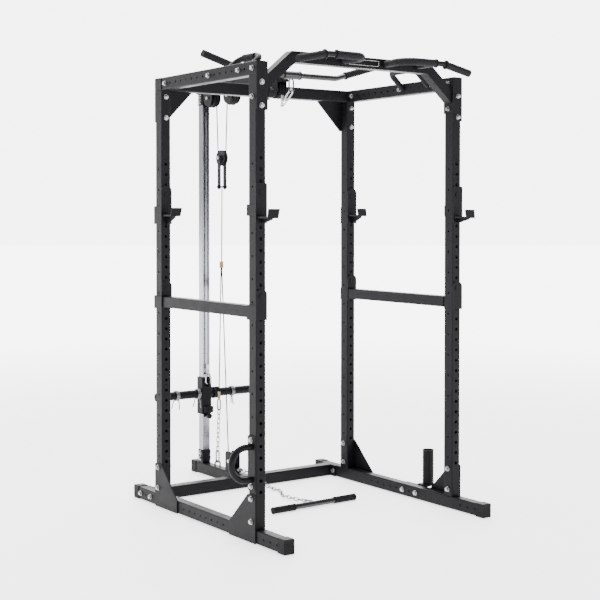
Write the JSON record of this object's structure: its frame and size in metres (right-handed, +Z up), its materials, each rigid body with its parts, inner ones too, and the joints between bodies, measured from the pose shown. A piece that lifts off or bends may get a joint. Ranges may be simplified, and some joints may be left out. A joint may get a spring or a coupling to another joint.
{
  "type": "power cage",
  "caption": "Four-post gym power cage with pull-up bars, bar hooks, safety bars and a plate-loaded cable tower behind.",
  "frame": {"origin": "on the floor under the middle of the whole cage, tower, handle and bar holder included", "axes": "+Z up, +Y from the open front to the cable tower at the back, +X to the right when facing the cage"},
  "size_m": [1.3845, 1.715, 2.2069],
  "materials": {
    "black_powder": "satin black powder coat",
    "gloss_black": "gloss black enamel on bars",
    "chrome": "bright plated",
    "zinc": "zinc plated",
    "black_plastic": "moulded black plastic",
    "rubber": "matt foam rubber",
    "cable": "nylon-coated steel cable",
    "brass": "crimped sleeves"
  },
  "bodies": {
    "frame": {"bar_holder": "black_powder", "base_gussets": "black_powder", "base_rails": "black_powder", "cable_ferrules": "brass", "d_handle": "black_powder", "end_caps": "black_plastic", "frame_bolts": "zinc", "frame_nuts_and_washers": "zinc", "guide_sockets": "black_powder", "guide_tube": "chrome", "lower_cables": "cable", "name_plate": "black_powder", "post_front_left": "black_powder", "post_front_right": "black_powder", "post_rear_left": "black_powder", "post_rear_right": "black_powder", "pulley_block": "black_powder", "pullup_arch": "black_powder", "pullup_brackets": "black_powder", "pullup_grip_tubes": "black_powder", "pullup_rubber_grips": "rubber", "rear_floor_crossmember": "black_powder", "rear_top_crossbeam": "black_powder", "side_grip_loops": "black_powder", "stop_pin": "black_plastic", "tether_chain": "zinc", "top_beams": "black_powder", "top_boom": "black_powder", "tower_base": "black_powder", "upper_cable": "cable", "wheel_axles": "zinc", "wheel_brackets": "black_powder"},
    "wheel_rear": {"wheel_rear_top": "black_plastic"},
    "wheel_middle": {"wheel_middle_top": "black_plastic"},
    "wheel_front": {"wheel_front_top": "black_plastic"},
    "wheel_of_block": {"wheel_block": "black_plastic"},
    "wheel_at_base": {"wheel_low": "black_plastic"},
    "carriage": {"carriage": "black_powder", "carriage_liners": "black_plastic", "carriage_rubbers": "rubber", "inner_collar": "chrome", "lift_fittings": "zinc", "lift_cable_run": "cable"},
    "collar_left": {"spring_collar_left": "chrome"},
    "collar_right": {"spring_collar_right": "chrome"},
    "lat_bar": {"lat_bar": "gloss_black", "lat_bar_grips": "rubber", "lat_bar_hub": "gloss_black", "lat_fittings": "zinc", "lat_cable_run": "cable"},
    "row_bar": {"row_bar": "gloss_black", "row_bar_grips": "rubber", "row_chain": "zinc", "row_cable_run": "cable"},
    "hook_front_left": {"j_hook_front_left": "black_powder"},
    "hook_front_right": {"j_hook_front_right": "black_powder"},
    "hook_rear_left": {"j_hook_rear_left": "black_powder"},
    "hook_rear_right": {"j_hook_rear_right": "black_powder"},
    "safety_left": {"safety_bar_left": "black_powder"},
    "safety_right": {"safety_bar_right": "black_powder"}
  },
  "joints": [
    {"name": "carriage_lift", "type": "slide", "parent": "frame", "child": "carriage", "axis": [0, 0, 1], "range_m": [0, 1.2], "deforming": ["lift_cable_run"]},
    {"name": "lat_pull", "type": "slide", "parent": "frame", "child": "lat_bar", "axis": [0, 0, 1], "range_m": [-1.2, 0], "deforming": ["lat_cable_run"]},
    {"name": "wheel_rear_turn", "type": "hinge", "parent": "frame", "child": "wheel_rear", "pos_m": [0.02425, 0.6775, 2.062], "axis": [1, 0, 0], "range_deg": [-5, 1540]},
    {"name": "wheel_middle_turn", "type": "hinge", "parent": "frame", "child": "wheel_middle", "pos_m": [0.02425, 0.4775, 2.062], "axis": [1, 0, 0], "range_deg": [-5, 1540]},
    {"name": "wheel_front_turn", "type": "hinge", "parent": "frame", "child": "wheel_front", "pos_m": [0.02425, 0.0555, 2.062], "axis": [1, 0, 0], "range_deg": [-5, 1540]},
    {"name": "wheel_block_turn", "type": "hinge", "parent": "frame", "child": "wheel_of_block", "pos_m": [0.02425, 0.5775, 1.735], "axis": [1, 0, 0], "range_deg": [-1840, 5]},
    {"name": "wheel_low_turn", "type": "hinge", "parent": "frame", "child": "wheel_at_base", "pos_m": [0.02425, 0.4755, 0.118], "axis": [1, 0, 0], "range_deg": [-390, 5]},
    {"name": "row_pull", "type": "slide", "parent": "frame", "child": "row_bar", "axis": [0, -1, 0], "range_m": [0, 0.25]},
    {"name": "collar_left_slide", "type": "slide", "parent": "carriage", "child": "collar_left", "axis": [-1, 0, 0], "range_m": [0, 0.09]},
    {"name": "hook_front_left_height", "type": "slide", "parent": "frame", "child": "hook_front_left", "axis": [0, 0, 1], "range_m": [-0.15, 0.15]},
    {"name": "hook_rear_left_height", "type": "slide", "parent": "frame", "child": "hook_rear_left", "axis": [0, 0, 1], "range_m": [-0.15, 0.15]},
    {"name": "safety_left_height", "type": "slide", "parent": "frame", "child": "safety_left", "axis": [0, 0, 1], "range_m": [-0.5, 0.1]},
    {"name": "collar_right_slide", "type": "slide", "parent": "carriage", "child": "collar_right", "axis": [1, 0, 0], "range_m": [0, 0.09]},
    {"name": "hook_front_right_height", "type": "slide", "parent": "frame", "child": "hook_front_right", "axis": [0, 0, 1], "range_m": [-0.15, 0.15]},
    {"name": "hook_rear_right_height", "type": "slide", "parent": "frame", "child": "hook_rear_right", "axis": [0, 0, 1], "range_m": [-0.15, 0.15]},
    {"name": "safety_right_height", "type": "slide", "parent": "frame", "child": "safety_right", "axis": [0, 0, 1], "range_m": [-0.5, 0.1]}
  ],
  "couplings": [
    {"joint": "lat_pull", "follows": "carriage_lift", "ratio": -1},
    {"joint": "wheel_rear_turn", "follows": "carriage_lift", "rad_per_m": 22.222},
    {"joint": "wheel_middle_turn", "follows": "carriage_lift", "rad_per_m": 22.222},
    {"joint": "wheel_front_turn", "follows": "carriage_lift", "rad_per_m": 22.222},
    {"joint": "wheel_block_turn", "follows": "carriage_lift", "rad_per_m": -26.667},
    {"joint": "wheel_low_turn", "follows": "row_pull", "rad_per_m": -26.667}
  ]
}
